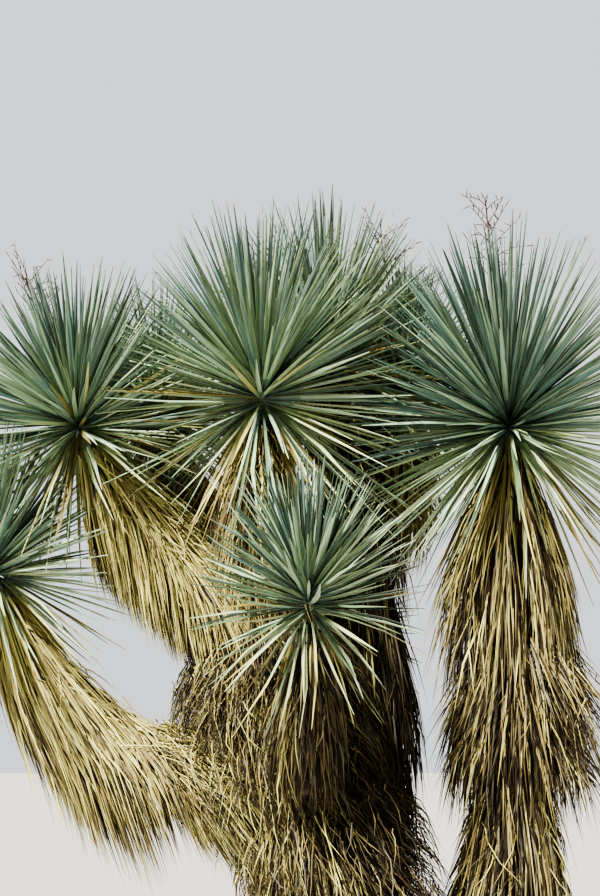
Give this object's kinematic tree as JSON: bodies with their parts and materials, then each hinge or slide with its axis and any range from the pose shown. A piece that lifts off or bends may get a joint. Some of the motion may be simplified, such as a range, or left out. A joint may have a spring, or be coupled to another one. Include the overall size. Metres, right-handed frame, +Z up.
{
  "type": "blue yucca tree",
  "caption": "Branching blue yucca: forked trunk and limbs, heads of stiff blue-green dagger leaves and hanging skirts of dead straw leaves, rooted in the ground.",
  "frame": {"origin": "middle of the flat cut under the trunk, at ground level", "axes": "+Z up; the side that the picture shows faces -Y, and the right of the picture is +X"},
  "size_m": [2.2745, 1.5759, 3.2779],
  "materials": {
    "bark": "rough, fibrous",
    "dry_stalk": "dry, matt",
    "live_leaves": "waxy blue-green, satin",
    "dead_leaves": "dry straw, matt"
  },
  "bodies": {
    "root": {"trunk": "bark", "right_stem": "bark", "back_stem": "bark", "centre_limb": "bark", "left_high_limb": "bark", "left_low_limb_inner": "bark", "left_low_limb_outer": "bark", "front_limb": "bark", "left_back_limb": "bark", "right_back_limb": "bark", "low_back_limb": "bark", "stalk_right": "dry_stalk", "stalk_right_back": "dry_stalk", "stalk_left_high": "dry_stalk", "head_right": "live_leaves", "head_centre": "live_leaves", "head_back_centre": "live_leaves", "head_left_high": "live_leaves", "head_left_low": "live_leaves", "head_left_back": "live_leaves", "head_right_back": "live_leaves", "head_front": "live_leaves", "head_low_back": "live_leaves", "skirt_right_upper": "dead_leaves", "skirt_right_middle": "dead_leaves", "skirt_right_lower": "dead_leaves", "skirt_centre": "dead_leaves", "skirt_left_high": "dead_leaves", "skirt_left_low_outer": "dead_leaves", "skirt_left_low_inner": "dead_leaves", "skirt_front": "dead_leaves", "skirt_back_upper": "dead_leaves", "skirt_back_lower": "dead_leaves", "skirt_left_back": "dead_leaves", "skirt_right_back": "dead_leaves", "skirt_low_back": "dead_leaves", "skirt_trunk_upper": "dead_leaves", "skirt_trunk_middle": "dead_leaves", "skirt_trunk_lower": "dead_leaves"}
  },
  "joints": []
}
